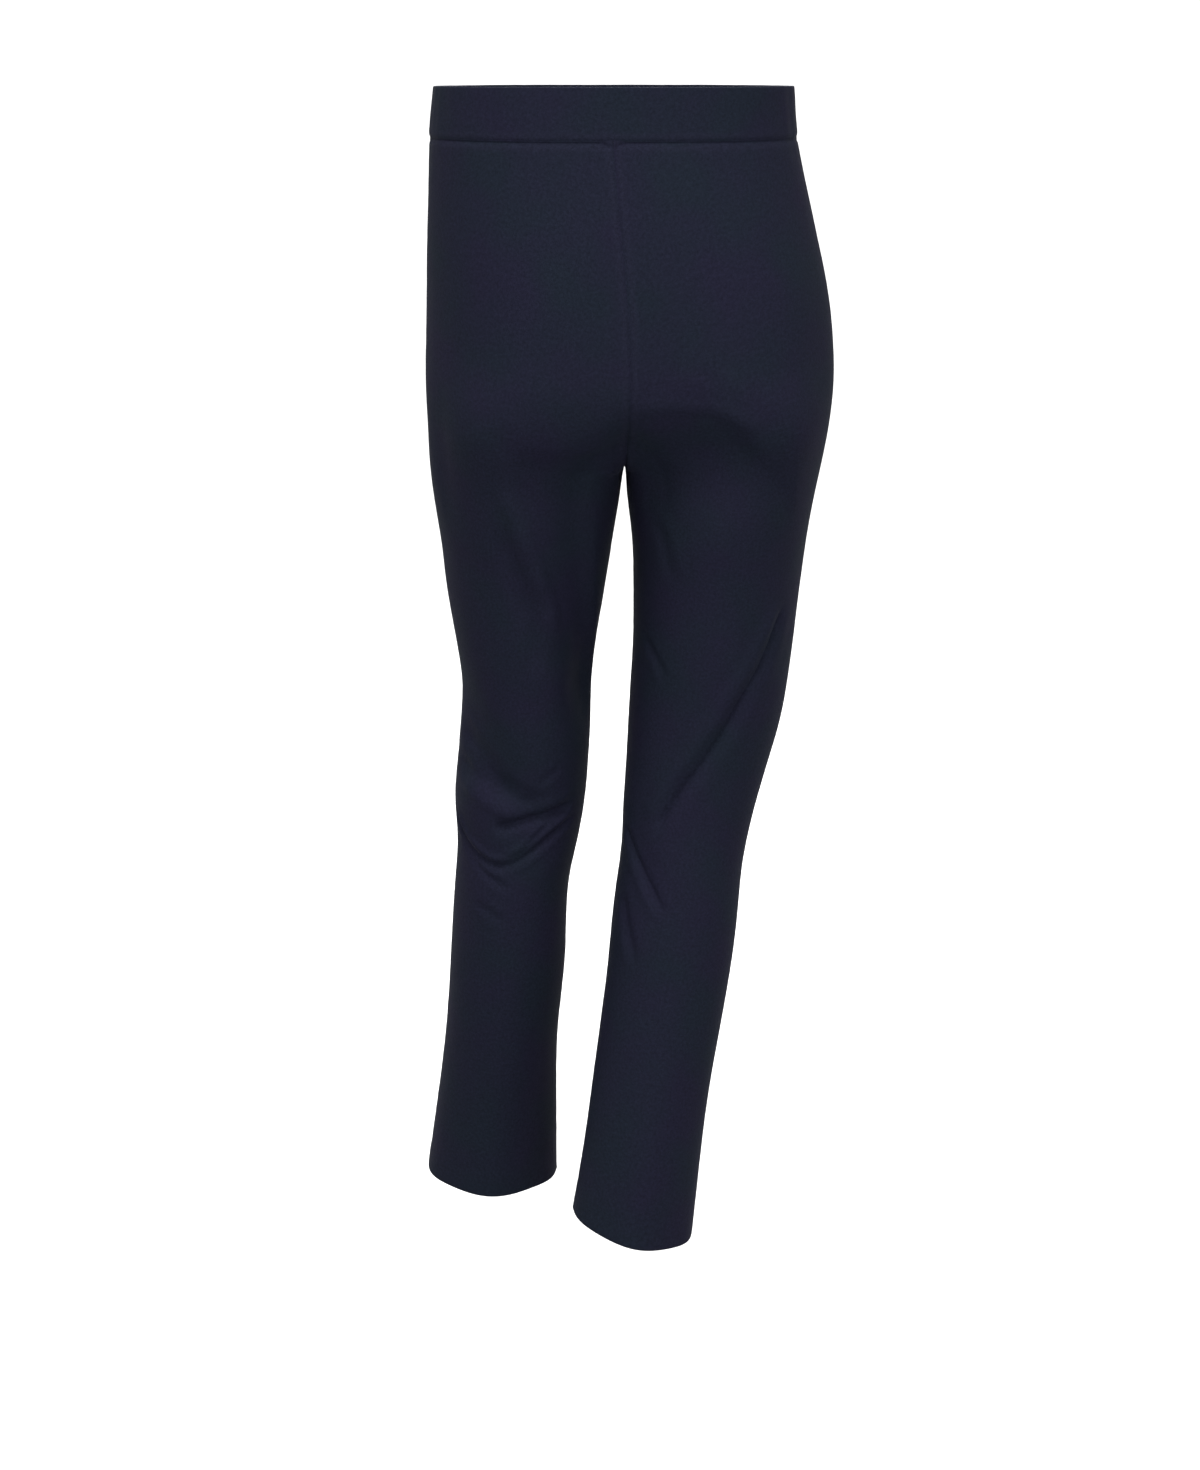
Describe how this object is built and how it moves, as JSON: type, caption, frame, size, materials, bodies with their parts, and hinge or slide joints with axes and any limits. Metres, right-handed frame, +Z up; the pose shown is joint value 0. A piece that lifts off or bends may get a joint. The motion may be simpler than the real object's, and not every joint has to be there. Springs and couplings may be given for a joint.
{
  "type": "straight-leg pull-on leggings",
  "caption": "Pull-on straight-leg leggings in dark knit, filled out as worn, with an elastic waistband, a centre seam and turned-up hems.",
  "frame": {"origin": "middle of the waist opening, level with the middle of the waistband's height", "axes": "+Z up out of the waist opening, -Y the way the garment's front faces, +X towards the wearer's left leg"},
  "size_m": [0.3581, 0.2384, 1.0141],
  "materials": {
    "ponte": "matte navy double knit"
  },
  "bodies": {
    "root": {"front_left": "ponte", "front_right": "ponte", "back_left": "ponte", "back_right": "ponte", "waistband_front": "ponte", "waistband_back": "ponte", "hem_left": "ponte", "hem_right": "ponte"}
  },
  "joints": []
}
